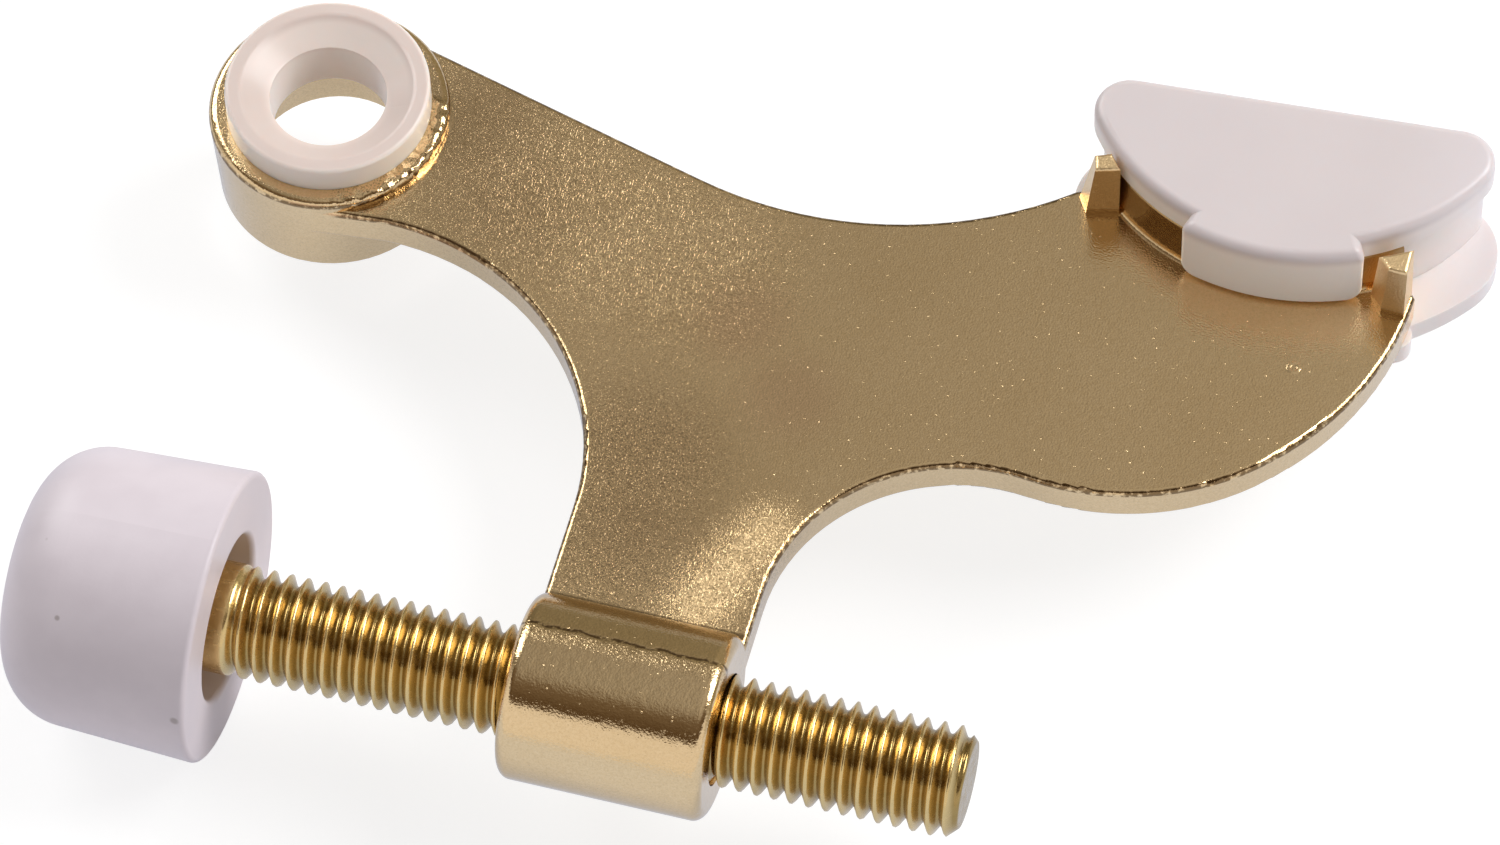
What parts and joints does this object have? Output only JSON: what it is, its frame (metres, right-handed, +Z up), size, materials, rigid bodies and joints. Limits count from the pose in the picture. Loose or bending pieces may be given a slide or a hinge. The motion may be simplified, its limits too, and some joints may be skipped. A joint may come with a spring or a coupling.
{
  "type": "hinge pin door stop",
  "caption": "Brass-plated door stop that hangs on a hinge pin: a flat two-armed casting with an adjustable screw and rubber tip on one arm and a swivelling pad on the other.",
  "frame": {"origin": "on the hinge pin's axis, at mid thickness of the plate", "axes": "+Z up along the hinge pin, towards the bush's flange; +X along the adjusting screw from the rubber tip to the free end; +Y towards the pad's face"},
  "size_m": [0.0948, 0.0676, 0.021],
  "materials": {
    "plated_casting": "bright brass plating",
    "milky_nylon": "translucent milky",
    "screw_brass": "bright yellow plating",
    "white_rubber": "matte white"
  },
  "bodies": {
    "frame": {"stop_body": "plated_casting", "hinge_bush": "milky_nylon"},
    "tip": {"rubber_tip": "white_rubber"},
    "screw": {"adjusting_screw": "screw_brass"},
    "pad": {"swivel_pad": "milky_nylon"}
  },
  "joints": [
    {"name": "tip_slide", "type": "slide", "parent": "frame", "child": "tip", "axis": [1, 0, 0], "range_m": [-0.0175, 0.021]},
    {"name": "screw_turn", "type": "hinge", "parent": "tip", "child": "screw", "pos_m": [0, -0.04207, 0], "axis": [1, 0, 0], "range_deg": [-5041, 6049]},
    {"name": "pad_swivel", "type": "hinge", "parent": "frame", "child": "pad", "pos_m": [0.06884, 0.01873, 0], "axis": [0, 0, 1], "range_deg": [-21, 0.8]}
  ],
  "couplings": [
    {"joint": "screw_turn", "follows": "tip_slide", "rad_per_m": 5026.5}
  ]
}
